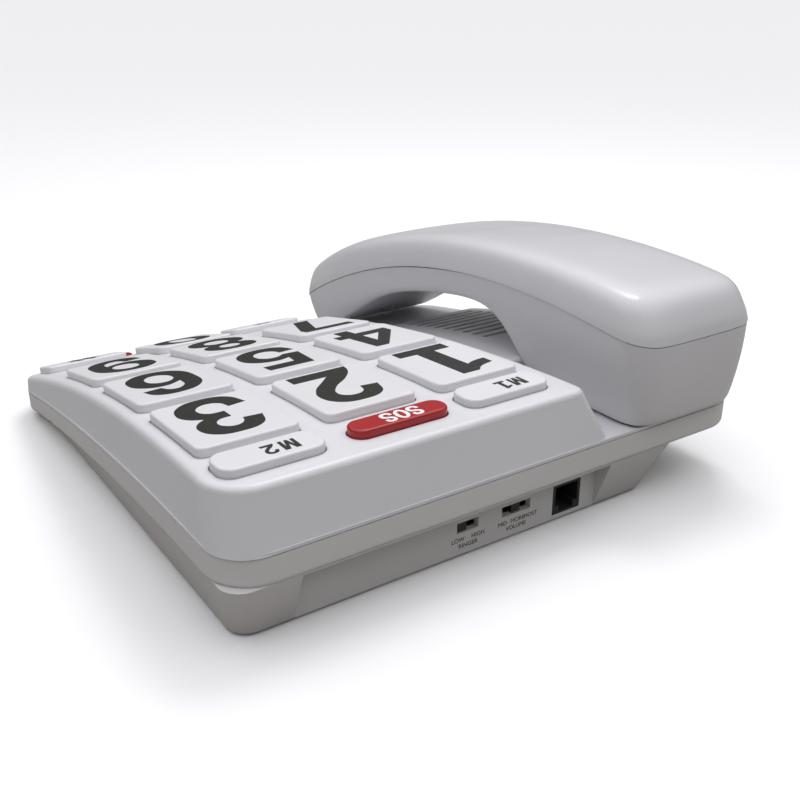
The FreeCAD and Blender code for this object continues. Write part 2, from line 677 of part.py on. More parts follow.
def socket(width, height, latch_width, latch_height, depth):
    """The hollow of a modular socket, mouth at y = 0 and running to -depth, latch step below."""
    room = block((-width / 2, width / 2), (-depth, 1), (0, height))
    latch = block((-latch_width / 2, latch_width / 2), (-depth, 1), (-latch_height, 0.1))
    return room.fuse(latch)


def contact_wires(count, pitch, height, depth):
    """Thin spring wires that slant down from the socket's roof."""
    wires = []
    for index in range(count):
        x = (index - (count - 1) / 2) * pitch
        wire = Part.makeCylinder(0.22, depth * 0.62, Vector(x, -2.0, height - 0.35), Vector(0, -1, -0.12))
        wires.append(wire)
    return wires


def line_jack():
    shape = line_jack_space(0)
    hollow = socket(size("line_socket_width"), size("line_socket_height"), size("latch_width"),
                    size("latch_height"), size("socket_depth"))
    hollow.translate(Vector(size("line_jack_x"), size("stand_back_low"), size("line_jack_low") + 3.1))
    return shape.cut(hollow)


def line_jack_wires():
    height, depth = size("line_socket_height"), size("socket_depth")
    wires = Part.makeCompound(contact_wires(4, 1.02, height, depth))
    wires.translate(Vector(size("line_jack_x"), size("stand_back_low"), size("line_jack_low") + 3.1))
    return wires


CORD_TURN = Rotation(Vector(0, 0, 1), 90)
CORD_JACK_FACE = -63.3


def cord_socket_place():
    return Placement(Vector(CORD_JACK_FACE, size("cord_jack_y"), 7.2), CORD_TURN)


def cord_jack():
    jack_span = (CORD_JACK_FACE, CORD_JACK_FACE + size("jack_depth") - 1)
    shape = cord_jack_space(0).common(block(jack_span, ALL_Y, (0, 30)))
    hollow = socket(size("cord_socket_width"), size("cord_socket_height"), size("cord_latch_width"),
                    size("cord_latch_height"), size("socket_depth"))
    hollow.Placement = cord_socket_place()
    return shape.cut(hollow)


def cord_jack_wires():
    wires = Part.makeCompound(contact_wires(4, 1.02, size("cord_socket_height"), size("socket_depth")))
    wires.Placement = cord_socket_place()
    return wires


keep_shape("line_jack", line_jack())
keep_shape("line_jack_contacts", line_jack_wires())
keep_shape("base_cord_jack", cord_jack())
keep_shape("base_cord_jack_contacts", cord_jack_wires())


# ---------------------------------------------------------------- screws and feet

def screw(x, y, low, length):
    """A pan-head screw that points up, its head's face at low."""
    head = Part.makeCylinder(size("screw_head_round"), size("screw_head"), Vector(x, y, low))
    head = head.cut(block((x - 1.7, x + 1.7), (y - 0.35, y + 0.35), (low - 1, low + 0.9)))
    head = head.cut(block((x - 0.35, x + 0.35), (y - 1.7, y + 1.7), (low - 1, low + 0.9)))
    shank = Part.makeCylinder(size("screw_round"), length, Vector(x, y, low + size("screw_head")))
    return head.fuse(shank)


housing_screws = []
for post_x, post_y in KEYPAD_POSTS + CRADLE_POSTS:
    head_low = post_joint(post_x, post_y) - 4.0 - size("screw_head")
    housing_screws.append(screw(post_x, post_y, head_low, 4.0 + screw_reach(post_x, post_y)))
keep_shape("housing_screws", Part.makeCompound(housing_screws))

feet = []
for foot_x, foot_y in ((-50, -66), (83, -66), (-50, 85), (83, 85)):
    foot = Part.makeCylinder(size("foot_round"), size("stand_base_z"), Vector(foot_x, foot_y, 0))
    feet.append(foot)
keep_shape("rubber_feet", Part.makeCompound(feet))


# ---------------------------------------------------------------- handset

HANDSET = Placement(Vector(size("handset_x"), size("handset_y"), size("handset_z")),
                    Rotation(Vector(1, 0, 0), size("handset_tilt")))


def handset_arc(top, radius):
    return (0.0, top, radius)


def side_profile(inset):
    """The handset's side outline: arched back, two blocks that face the cradle, arch between."""
    top = handset_arc(size("handset_top") - inset, size("handset_top_radius"))
    half = size("handset_half") - inset
    widest = size("end_widest")
    ear_low = size("ear_block_low") + inset
    mouth_low = size("mouth_block_low") + inset
    start_low = size("ear_block_start_low") + inset
    end_top = size("end_top") - inset * 0.4
    top_z = arc_height(*top, end_top)
    under = size("grip_underside") + inset
    ear_start = size("ear_block_start") + inset
    mouth_start = size("mouth_block_start") - inset
    slope_start = size("mouth_slope_start") - inset * 0.3
    points = [
        Vector(0, end_top, top_z),
        Vector(0, half - 2.5, 8.0),
        Vector(0, half, widest),
        Vector(0, size("ear_end_low") - inset * 0.8, ear_low),
        Vector(0, ear_start + 5.5, start_low),
        Vector(0, ear_start - 12.0, under - 0.6),
        Vector(0, 0, under + 1.6),
        Vector(0, slope_start, under - 3.0),
        Vector(0, mouth_start, mouth_low),
        Vector(0, size("mouth_end_low") + inset * 0.8, mouth_low),
        Vector(0, -half, widest),
        Vector(0, -half + 2.5, 6.0),
        Vector(0, -end_top, top_z),
    ]
    edges = []
    for index in range(len(points) - 1):
        start, end = points[index], points[index + 1]
        if index == 4:
            middle = Vector(0, ear_start - 1.2, -6.0 + inset)
            edges.append(Part.Arc(start, middle, end).toShape())
        elif index == 5:
            middle = Vector(0, (ear_start - 12.0) / 2, under + 1.1)
            edges.append(Part.Arc(start, middle, end).toShape())
        elif index == 6:
            middle = Vector(0, slope_start / 2, under + 1.1)
            edges.append(Part.Arc(start, middle, end).toShape())
        else:
            edges.append(Part.LineSegment(start, end).toShape())
    edges.append(arc_edge(top, -end_top, end_top))
    return Part.Wire(edges)


def handset_form(inset):
    """The whole handset as one solid, made smaller by inset for its hollow."""
    half_width = size("handset_width") / 2 - inset
    face = Part.Face(side_profile(inset))
    face.translate(Vector(-half_width, 0, 0))
    side = face.extrude(Vector(2 * half_width, 0, 0))
    half = size("handset_half") - inset
    plan = prism((-half_width, half_width), (-half, half), size("handset_corner") - inset, -60, 60)
    form = side.common(plan)
    top = handset_arc(size("handset_top") - inset, size("handset_top_radius"))
    return round_edges(form, size("handset_top_round") - inset,
                       lambda p: abs(arc_height(*top, p.y) - p.z) < 0.02 and abs(p.y) < 96)


def above_parting(gap):
    parting = handset_arc(size("parting_top") + gap, size("parting_radius"))
    return band(parting, handset_arc(90, 100000.0), (-60, 60), (-125, 125))


HANDSET_SCREWS = [(0.0, 30.0), (0.0, -34.0)]


def handset_shells():
    outer = handset_form(0)
    inner = handset_form(size("handset_wall"))
    shell = outer.cut(inner)
    upper = shell.common(above_parting(size("parting_gap")))
    lower = shell.cut(above_parting(-size("parting_gap")))
    for x, y in HANDSET_SCREWS:
        post_start = Vector(x, y, size("handset_post_low"))
        post = Part.makeCylinder(size("post_round") + 0.1, 20.0, post_start).common(outer)
        pilot = Part.makeCylinder(size("screw_round") + size("screw_fit"), 12.0, post_start)
        upper = upper.fuse(post).cut(pilot)
        boss = Part.makeCylinder(size("post_round") + 1.3, 10.0, Vector(x, y, -1.0)).common(outer)
        boss = boss.common(block((-10, 10), (-60, 60), (-20, size("handset_boss_top"))))
        lower = lower.fuse(boss)
        head_well = Part.makeCylinder(size("screw_head_round") + 0.3, 10.5, Vector(x, y, -5.0))
        clearance = Part.makeCylinder(size("screw_round") + 0.2, 12.0, Vector(x, y, 0.0))
        lower = lower.cut([head_well, clearance])
    return upper, lower


upper_shell, lower_shell = handset_shells()
HANDSET_JACK = Placement(Vector(0, -104.0, -8.0), Rotation(Vector(1, 0, 0), -size("handset_tilt")))
jack_pocket = block((-5.4, 5.4), (-14.0, 12.5), (-4.9, 4.9))
jack_pocket.Placement = HANDSET_JACK
EAR_HOLES = (75.0, -40.0, 16.0)
MOUTH_HOLES = (-74.0, -20.0, 12.0)


def sound_holes(place, radius, rings):
    """Round holes on rings of (radius, count); place is their middle's Y, low end and depth."""
    middle_y, low, depth = place
    holes = []
    for ring, count in rings:
        for step in range(count):
            angle = 2 * math.pi * step / count
            base = Vector(ring * math.cos(angle), middle_y + ring * math.sin(angle), low)
            holes.append(Part.makeCylinder(radius, depth, base))
    return holes


ear_holes = sound_holes(EAR_HOLES, size("ear_hole_round"), ((0, 1), (5.0, 6), (10.0, 12)))
mouth_holes = sound_holes(MOUTH_HOLES, size("mouth_hole_round"), ((0, 1), (4.0, 6)))
lower_shell = lower_shell.cut([jack_pocket] + ear_holes + mouth_holes)
upper_shell = upper_shell.cut(jack_pocket)
keep_shape("handset_upper_shell", upper_shell, HANDSET)
keep_shape("handset_lower_shell", lower_shell, HANDSET)

# Receiver above the ear holes, microphone above the mouth holes, and a steel weight in the grip.
ear_tilt = Rotation(Vector(1, 0, 0), -size("handset_tilt"))
receiver = Part.makeCylinder(15.0, 8.0)
receiver.Placement = Placement(Vector(0, 75.0, -25.4), ear_tilt)
keep_shape("receiver_capsule", receiver, HANDSET)
microphone = Part.makeCylinder(5.0, 6.0)
microphone.Placement = Placement(Vector(0, -75.0, -9.6), Rotation(Vector(1, 0, 0), 20.4))
keep_shape("microphone_capsule", microphone, HANDSET)
keep_shape("handset_weight", block((-11, 11), (-20, 16), (10.0, 17.0)), HANDSET)

# Jack for the handset cord, in the mouth end.
FACING_FRONT = Placement(Vector(0, 0, -3.0), Rotation(Vector(0, 0, 1), 180))
handset_jack = block((-5.3, 5.3), (0, 12.4), (-4.8, 4.8))
handset_socket = socket(size("cord_socket_width"), size("cord_socket_height"),
                        size("cord_latch_width"), size("cord_latch_height") - 0.3, 11.0)
handset_socket.Placement = FACING_FRONT
keep_shape("handset_jack", handset_jack.cut(handset_socket), HANDSET.multiply(HANDSET_JACK))
handset_wires = Part.makeCompound(contact_wires(4, 1.02, size("cord_socket_height"), 11.0))
handset_wires.Placement = HANDSET.multiply(HANDSET_JACK).multiply(FACING_FRONT)
keep_shape("handset_jack_contacts", handset_wires)

handset_screws = []
for screw_x, screw_y in HANDSET_SCREWS:
    handset_screws.append(screw(screw_x, screw_y, 3.6, 10.0))
keep_shape("handset_screws", Part.makeCompound(handset_screws), HANDSET)


# ---------------------------------------------------------------- checks and files

doc.recompute()
for item in doc.Objects:
    if "Invalid" in item.State or "Error" in item.State:
        raise RuntimeError(f"{item.Label} failed: {item.State}")
for piece in sub_parts:
    if piece.Shape.isNull() or not piece.Shape.isValid():
        raise RuntimeError(f"{piece.Label} has no valid shape")
os.makedirs("parts", exist_ok=True)
for piece in sub_parts:
    piece.Shape.exportStep(f"parts/{piece.Label}.step")
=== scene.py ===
import math

import bpy
from mathutils import Matrix, Vector


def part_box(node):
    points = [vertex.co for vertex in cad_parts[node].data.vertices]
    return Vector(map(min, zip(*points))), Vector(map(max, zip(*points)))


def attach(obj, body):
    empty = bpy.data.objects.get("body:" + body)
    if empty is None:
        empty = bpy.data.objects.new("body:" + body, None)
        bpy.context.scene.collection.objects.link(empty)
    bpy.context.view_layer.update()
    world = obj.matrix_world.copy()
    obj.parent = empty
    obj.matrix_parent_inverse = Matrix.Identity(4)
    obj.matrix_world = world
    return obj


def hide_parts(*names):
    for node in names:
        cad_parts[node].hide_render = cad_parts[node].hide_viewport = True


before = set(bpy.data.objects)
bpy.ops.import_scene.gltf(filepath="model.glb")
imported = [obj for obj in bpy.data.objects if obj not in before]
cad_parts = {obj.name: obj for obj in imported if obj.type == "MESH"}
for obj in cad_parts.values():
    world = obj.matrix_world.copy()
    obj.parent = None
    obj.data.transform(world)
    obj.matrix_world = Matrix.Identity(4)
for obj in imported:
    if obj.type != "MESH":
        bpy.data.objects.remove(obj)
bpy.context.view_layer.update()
MM = 0.001


# ------------------------------------------------------------ lower housing
# The lower half of the desk unit: a shallow rim and a drafted pedestal in one moulding.
# Semi-gloss ABS, cool off-white, screwed to the upper half from below.

def new_group(name, inputs, outputs):
    """A shader node group with its inputs and outputs, as (name, kind, value)."""
    group = bpy.data.node_groups.new(name, "ShaderNodeTree")
    for title, kind, value in inputs:
        socket = group.interface.new_socket(name=title, in_out="INPUT", socket_type="NodeSocket" + kind)
        socket.default_value = value
    for title, kind in outputs:
        group.interface.new_socket(name=title, in_out="OUTPUT", socket_type="NodeSocket" + kind)
    return group, group.nodes.new("NodeGroupInput"), group.nodes.new("NodeGroupOutput")


def noise(tree, place, scale, detail):
    """A noise texture on the given place socket; scale is in features for each metre."""
    texture = tree.nodes.new("ShaderNodeTexNoise")
    texture.inputs["Scale"].default_value = scale
    texture.inputs["Detail"].default_value = detail
    tree.links.new(place, texture.inputs["Vector"])
    return texture.outputs["Fac"]


def ranged(tree, value, low, high, to_low, to_high):
    """Map a value from one range to another."""
    node = tree.nodes.new("ShaderNodeMapRange")
    tree.links.new(value, node.inputs["Value"])
    for title, number in (("From Min", low), ("From Max", high)):
        node.inputs[title].default_value = number
    for title, number in (("To Min", to_low), ("To Max", to_high)):
        if isinstance(number, (int, float)):
            node.inputs[title].default_value = number
        else:
            tree.links.new(number, node.inputs[title])
    return node.outputs["Result"]


def multiply(tree, first, second):
    """Multiply two values, each a number or a socket."""
    node = tree.nodes.new("ShaderNodeMath")
    node.operation = "MULTIPLY"
    for index, value in enumerate((first, second)):
        if isinstance(value, (int, float)):
            node.inputs[index].default_value = value
        else:
            tree.links.new(value, node.inputs[index])
    return node.outputs["Value"]


def mixed(tree, amount, first, second):
    """Mix two colours by an amount socket."""
    node = tree.nodes.new("ShaderNodeMix")
    node.data_type = "RGBA"
    tree.links.new(amount, node.inputs[0])
    for index, colour in ((6, first), (7, second)):
        if isinstance(colour, tuple):
            node.inputs[index].default_value = colour
        else:
            tree.links.new(colour, node.inputs[index])
    return node.outputs[2]


def moulded_finish():
    """Moulded plastic: faint flow mottling, a fine spark-eroded grain, handling sheen and dust."""
    group, given, wanted = new_group(
        "Moulded finish",
        [("Colour", "Color", (0.8, 0.8, 0.8, 1)), ("Shade", "Color", (0.7, 0.7, 0.7, 1)),
         ("Grain", "Float", 1500.0), ("Sheen low", "Float", 0.3), ("Sheen high", "Float", 0.4),
         ("Dust", "Float", 0.1)],
        [("Colour", "Color"), ("Roughness", "Float"), ("Height", "Float")])
    place = group.nodes.new("ShaderNodeTexCoord").outputs["Object"]
    flow = ranged(group, noise(group, place, 22.0, 1.0), 0.1, 0.9, 0.0, 1.0)
    colour = mixed(group, flow, given.outputs["Colour"], given.outputs["Shade"])
    facing = group.nodes.new("ShaderNodeSeparateXYZ")
    group.links.new(group.nodes.new("ShaderNodeNewGeometry").outputs["Normal"], facing.inputs[0])
    upward = ranged(group, facing.outputs["Z"], 0.5, 0.95, 0.0, 1.0)
    specks = ranged(group, noise(group, place, 420.0, 6.0), 0.56, 0.72, 0.0, 1.0)
    dust = multiply(group, multiply(group, upward, specks), given.outputs["Dust"])
    group.links.new(mixed(group, dust, colour, (0.55, 0.53, 0.5, 1)), wanted.inputs["Colour"])
    smear = noise(group, place, 60.0, 1.0)
    sheen = ranged(group, smear, 0.1, 0.9, given.outputs["Sheen low"], given.outputs["Sheen high"])
    group.links.new(sheen, wanted.inputs["Roughness"])
    grain = group.nodes.new("ShaderNodeTexNoise")
    group.links.new(place, grain.inputs["Vector"])
    group.links.new(given.outputs["Grain"], grain.inputs["Scale"])
    group.links.new(grain.outputs["Fac"], wanted.inputs["Height"])
    return group


MOULDED = moulded_finish()


def plastic(name, colour, sheen=(0.3, 0.4), grain=1500.0, depth=0.02, dust=0.1, shade=0.95,
            coat=0.0, metal=0.0, see_through=0.0):
    """A moulded plastic of this colour; sheen is its range of roughness, depth the grain's in mm."""
    material = bpy.data.materials.new(name)
    material.use_nodes = True
    tree = material.node_tree
    shader = tree.nodes["Principled BSDF"]
    finish = tree.nodes.new("ShaderNodeGroup")
    finish.node_tree = MOULDED
    finish.inputs["Colour"].default_value = (*colour, 1)
    finish.inputs["Shade"].default_value = (*(value * shade for value in colour), 1)
    finish.inputs["Grain"].default_value = grain
    finish.inputs["Sheen low"].default_value, finish.inputs["Sheen high"].default_value = sheen
    finish.inputs["Dust"].default_value = dust
    tree.links.new(finish.outputs["Colour"], shader.inputs["Base Color"])
    tree.links.new(finish.outputs["Roughness"], shader.inputs["Roughness"])
    bump = tree.nodes.new("ShaderNodeBump")
    bump.inputs["Strength"].default_value = 0.35
    bump.inputs["Distance"].default_value = depth * MM
    tree.links.new(finish.outputs["Height"], bump.inputs["Height"])
    tree.links.new(bump.outputs["Normal"], shader.inputs["Normal"])
    shader.inputs["Coat Weight"].default_value = coat
    shader.inputs["Metallic"].default_value = metal
    shader.inputs["Transmission Weight"].default_value = see_through
    material.diffuse_color = (*colour, 1)
    return material


def finish_node(node, material):
    """Give a carried-over CAD node its material."""
    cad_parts[node].material_slots[0].material = material


def clear_selection():
    """Leave edit mode and deselect everything."""
    if bpy.context.object and bpy.context.object.mode == "EDIT":
        bpy.ops.object.mode_set(mode="OBJECT")
    bpy.ops.object.select_all(action="DESELECT")


finish_node("lower_housing", plastic("lower_housing_abs", (0.66, 0.65, 0.645), sheen=(0.34, 0.44)))


# ------------------------------------------------------------ upper housing
# The upper half: the raised keypad block, and the cradle's floor with its slotted bridge.
# The same ABS in a slightly cooler tone, with a satin mould texture.

finish_node("upper_housing", plastic("upper_housing_abs", (0.70, 0.70, 0.725), sheen=(0.30, 0.40)))


# ------------------------------------------------------------ feet and screws
# Four soft black rubber feet, glued into the pedestal's floor.
# Self-tapping steel screws, zinc-plated, hold the two housings and the two handset shells together.

finish_node("rubber_feet", plastic("foot_rubber", (0.03, 0.03, 0.031), sheen=(0.7, 0.9),
                                   grain=2600.0, depth=0.05, dust=0.3))
zinc_plate = plastic("zinc_plate", (0.6, 0.61, 0.63), sheen=(0.22, 0.42), grain=3000.0,
                     metal=1.0, shade=0.85)
for screws in ("housing_screws", "handset_screws"):
    finish_node(screws, zinc_plate)


# ------------------------------------------------------------ inner parts
# Circuit board, keypad contacts and mat, sounder, hook switch, capsules and the grip's weight.
# They lie inside the two housings; the mat's grey shows at the bottom of the keys' gaps.

def circuit_board():
    """Green solder mask over copper tracks, drawn with a brick pattern."""
    material = plastic("circuit_board_mask", (0.02, 0.16, 0.06), sheen=(0.25, 0.4), dust=0.2)
    tree = material.node_tree
    place = tree.nodes.new("ShaderNodeTexCoord").outputs["Object"]
    tracks = tree.nodes.new("ShaderNodeTexBrick")
    for title, number in (("Scale", 90.0), ("Mortar Size", 0.06), ("Row Height", 0.35)):
        tracks.inputs[title].default_value = number
    tracks.inputs["Color1"].default_value = (0.015, 0.13, 0.05, 1)
    tracks.inputs["Color2"].default_value = (0.02, 0.17, 0.065, 1)
    tracks.inputs["Mortar"].default_value = (0.06, 0.3, 0.1, 1)
    tree.links.new(place, tracks.inputs["Vector"])
    tree.links.new(tracks.outputs["Color"], tree.nodes["Principled BSDF"].inputs["Base Color"])
    return material


finish_node("main_circuit_board", circuit_board())
finish_node("keypad_mat", plastic("silicone_mat", (0.32, 0.32, 0.34), sheen=(0.55, 0.7), grain=900.0))
finish_node("keypad_contact_film", plastic("contact_film", (0.25, 0.3, 0.28), sheen=(0.3, 0.5)))
capsule_case = plastic("capsule_case", (0.04, 0.04, 0.045), sheen=(0.4, 0.55))
for case in ("ringer_sounder", "hook_switch", "receiver_capsule", "microphone_capsule"):
    finish_node(case, capsule_case)
finish_node("handset_weight", plastic("bare_steel", (0.42, 0.42, 0.43), sheen=(0.35, 0.55),
                                      grain=700.0, depth=0.06, metal=1.0, shade=0.8))
finish_node("indicator_lens", plastic("red_lens", (0.5, 0.02, 0.02), sheen=(0.1, 0.2), coat=0.4,
                                      see_through=0.35, dust=0.05))


# ------------------------------------------------------------ jacks
# Black nylon modular jacks pressed into the pedestal and the handset's end.
# Each has a row of gold-flashed spring wires at the top of its socket.

jack_nylon = plastic("jack_nylon", (0.022, 0.023, 0.024), sheen=(0.35, 0.5), grain=1800.0)
gold_flash = plastic("gold_flash", (0.8, 0.58, 0.22), sheen=(0.2, 0.32), metal=1.0, shade=0.9, dust=0.0)
for jack in ("line_jack", "base_cord_jack", "handset_jack"):
    finish_node(jack, jack_nylon)
    finish_node(jack + "_contacts", gold_flash)


# ------------------------------------------------------------ slide switches
# Two slide switches behind slots in the pedestal's back panel: nylon cases, glued in place,
# and black acetal knobs that stand out through the slots.

knob_acetal = plastic("knob_acetal", (0.02, 0.02, 0.021), sheen=(0.32, 0.45), grain=1800.0)
for switch in ("ringer", "volume"):
    finish_node(switch + "_switch_case", jack_nylon)
    finish_node(switch + "_switch_knob", knob_acetal)


# ------------------------------------------------------------ printed legends
# Pad-printed ink: the digits are dark olive black, the small keys' marks likewise, the alarm
# key's letters white. Each is a thin film of ink on the face that it is printed on.

# Millimetres. The key tops follow one long arc, whose highest point lies at the deck's back.
INK_FILM = 0.06
KEY_ARC_RADIUS = 586.6
KEY_ARC_PEAK_Y = 97.3
KEY_ARC_PEAK = 49.25
KEY_HALF_HEIGHT = 3.45
DIGIT_SCALE = 0.218
DIGIT_FOOT = -17.2
ZERO_FOOT = -16.0
MARK_SCALE = 0.11
MEMORY_SCALE = 0.041
ALARM_SCALE = 0.043
dark_ink = plastic("dark_ink", (0.008, 0.008, 0.005), sheen=(0.5, 0.62), grain=2200.0, depth=0.01,
                   dust=0.02, shade=0.85)
white_ink = plastic("white_ink", (0.86, 0.86, 0.86), sheen=(0.4, 0.5), grain=2200.0, depth=0.01,
                    dust=0.02)

# Outlines on a field 100 wide and 140 high. A point with a third value is a sharp corner.
C = "corner"
GLYPHS = {
    "0": [[(50, 142), (86, 120), (100, 70), (86, 19), (50, -3), (14, 19), (0, 70), (14, 120)],
          [(50, 119), (65, 105), (71, 70), (65, 34), (50, 20), (35, 34), (29, 70), (35, 105)]],
    "1": [[(3, 0, C), (97, 0, C), (97, 25, C), (66, 25, C), (66, 145, C), (36, 145, C), (24, 133),
           (-3, 125, C), (-3, 103, C), (20, 106), (33, 112, C), (33, 25, C), (3, 25, C)]],
    "2": [[(0, 0, C), (99, 0, C), (99, 26, C), (45, 26, C), (62, 43), (88, 71), (97, 100), (83, 132),
           (49, 142), (15, 131), (1, 96, C), (28, 92, C), (34, 111), (49, 118), (64, 112), (69, 98),
           (58, 76), (24, 46), (5, 20)]],
    "3": [[(3, 101, C), (16, 132), (50, 142), (84, 132), (96, 104), (89, 85), (75, 74, C), (93, 61),
           (100, 39), (85, 8), (49, -3), (14, 8), (0, 42, C), (27, 46, C), (33, 27), (49, 20),
           (65, 26), (71, 41), (62, 57), (40, 60, C), (40, 83, C), (60, 87), (67, 101), (61, 114),
           (49, 119), (36, 113), (30, 98, C)]],
    "4": [[(57, 0, C), (84, 0, C), (84, 30, C), (101, 30, C), (101, 54, C), (84, 54, C), (84, 142, C),
           (60, 142, C), (0, 56, C), (0, 30, C), (57, 30, C)],
          [(57, 54, C), (25, 54, C), (57, 102, C)]],
    "5": [[(91, 140, C), (91, 114, C), (37, 114, C), (32, 86, C), (53, 92), (86, 79), (99, 46),
           (85, 10), (47, -3), (13, 8), (0, 41, C), (27, 44, C), (33, 26), (48, 19), (65, 26),
           (71, 45), (64, 64), (47, 70), (29, 59, C), (3, 62, C), (15, 140, C)]],
    "6": [[(95, 103, C), (85, 131), (54, 142), (15, 124), (0, 68), (13, 14), (50, -3), (86, 11),
           (99, 46), (87, 79), (56, 91), (28, 77, C), (35, 110), (54, 119), (67, 99, C)],
          [(50, 70), (65, 63), (71, 45), (65, 26), (51, 19), (36, 26), (29, 45), (35, 63)]],
    "7": [[(0, 140, C), (100, 140, C), (100, 116, C), (56, 0, C), (26, 0, C), (68, 114, C),
           (0, 114, C)]],
    "8": [[(50, 142), (84, 132), (96, 105), (89, 84), (76, 74, C), (92, 62), (100, 39), (86, 9),
           (50, -3), (14, 9), (0, 39), (8, 62), (24, 74, C), (11, 84), (4, 105), (16, 132)],
          [(50, 119), (63, 114), (68, 102), (63, 89), (50, 84), (37, 89), (32, 102), (37, 114)],
          [(50, 62), (66, 56), (72, 41), (66, 26), (50, 20), (34, 26), (28, 41), (34, 56)]],
    "star": [[(43, 70, C), (57, 70, C), (54, 98, C), (78, 86, C), (84, 99, C), (59, 109, C),
              (78, 129, C), (67, 138, C), (50, 115, C), (33, 138, C), (22, 129, C), (41, 109, C),
              (16, 99, C), (22, 86, C), (46, 98, C)]],
    "hash": [[(18, 10, C), (36, 10, C), (36, 40, C), (64, 40, C), (64, 10, C), (82, 10, C),
              (82, 40, C), (102, 40, C), (102, 58, C), (82, 58, C), (82, 82, C), (102, 82, C),
              (102, 100, C), (82, 100, C), (82, 130, C), (64, 130, C), (64, 100, C), (36, 100, C),
              (36, 130, C), (18, 130, C), (18, 100, C), (-2, 100, C), (-2, 82, C), (18, 82, C),
              (18, 58, C), (-2, 58, C), (-2, 40, C), (18, 40, C)],
             [(36, 58, C), (64, 58, C), (64, 82, C), (36, 82, C)]],
    "M": [[(0, 0, C), (27, 0, C), (27, 92, C), (50, 0, C), (70, 0, C), (93, 92, C), (93, 0, C),
           (120, 0, C), (120, 140, C), (80, 140, C), (60, 62, C), (40, 140, C), (0, 140, C)]],
    "S": [[(93, 99, C), (83, 131), (50, 142), (15, 131), (4, 102), (15, 78), (46, 62), (66, 52),
           (71, 39), (64, 25), (49, 20), (33, 26), (27, 45, C), (0, 42, C), (14, 8), (50, -3),
           (86, 8), (99, 39), (89, 67), (57, 84), (37, 93), (31, 103), (37, 115), (50, 119),
           (61, 114), (67, 96, C)]],
}
GLYPHS["9"] = [[(100 - point[0], 139 - point[1], *point[2:]) for point in loop]
               for loop in GLYPHS["6"]]


def printed(name, marks, place, ink):
    """Ink film from glyph outlines; marks are (glyph, left, low, scale in mm for each unit)."""
    curve = bpy.data.curves.new(name, "CURVE")
    curve.dimensions = "2D"
    curve.fill_mode = "BOTH"
    curve.resolution_u = 10
    for glyph, left, low, scale in marks:
        for loop in GLYPHS[glyph]:
            spline = curve.splines.new("BEZIER")
            spline.bezier_points.add(len(loop) - 1)
            spline.use_cyclic_u = True
            for knot, point in zip(spline.bezier_points, loop):
                knot.co = (left + point[0] * scale, low + point[1] * scale, 0)
                kind = "VECTOR" if len(point) == 3 else "AUTO"
                knot.handle_left_type = knot.handle_right_type = kind
    curve.extrude = INK_FILM / 2
    piece = bpy.data.objects.new(name, curve)
    bpy.context.collection.objects.link(piece)
    clear_selection()
    piece.select_set(True)
    bpy.context.view_layer.objects.active = piece
    bpy.ops.object.convert(target="MESH")
    piece = bpy.context.object
    piece.data.transform(place @ Matrix.Scale(MM, 4) @ Matrix.Translation((0, 0, INK_FILM / 2)))
    piece.data.materials.clear()
    piece.data.materials.append(ink)
    return piece


def key_face(x, y, top):
    """The place of a key's top face: its middle, tilted with the deck. Millimetres."""
    tilt = math.asin((KEY_ARC_PEAK_Y - y) / KEY_ARC_RADIUS)
    return Matrix.Translation(Vector((x, y, top)) * MM) @ Matrix.Rotation(tilt, 4, "X")


def key_middle(node):
    """The middle of a key's top face, from the key's own box."""
    low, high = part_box(node)
    x = (low.x + high.x) / 2 / MM
    y = (low.y + high.y) / 2 / MM
    for _ in range(3):
        tilt = math.asin((KEY_ARC_PEAK_Y - y) / KEY_ARC_RADIUS)
        y = (low.y + high.y) / 2 / MM - math.sin(tilt) * KEY_HALF_HEIGHT
    top = KEY_ARC_PEAK - KEY_ARC_RADIUS + math.sqrt(KEY_ARC_RADIUS ** 2 - (y - KEY_ARC_PEAK_Y) ** 2)
    return x, y, top


for digit in range(10):
    node = f"key_{digit}"
    foot = DIGIT_FOOT if digit else ZERO_FOOT
    ink = printed(f"digit_{digit}", [(str(digit), -50 * DIGIT_SCALE, foot, DIGIT_SCALE)],
                  key_face(*key_middle(node)), dark_ink)
    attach(ink, node)

for node, glyph, foot in (("key_star", "star", -9.5), ("key_hash", "hash", -70 * MARK_SCALE)):
    ink = printed(f"mark_{glyph}", [(glyph, -50 * MARK_SCALE, foot, MARK_SCALE)],
                  key_face(*key_middle(node)), dark_ink)
    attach(ink, node)

for number in (1, 2):
    node = f"key_memory_{number}"
    marks = [("M", -8.6, -2.4, MEMORY_SCALE), (str(number), -2.4, -2.4, MEMORY_SCALE)]
    ink = printed(f"memory_mark_{number}", marks, key_face(*key_middle(node)), dark_ink)
    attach(ink, node)

marks = [(glyph, -7.8 + step * 4.6, -2.8, ALARM_SCALE) for step, glyph in enumerate("S0S")]
ink = printed("alarm_mark", marks, key_face(*key_middle("key_emergency")), white_ink)
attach(ink, "key_emergency")


# ------------------------------------------------------------ switch legends
# Small pad-printed words under the two switch slots of the back panel. They read from behind.

# Millimetres: the panel's outer face, the letters' height, and the feet of the two lines of words.
PANEL_FACE_Y = 97.4
LETTER_HEIGHT = 1.5
LEVEL_FOOT = 5.7
TITLE_FOOT = 3.4


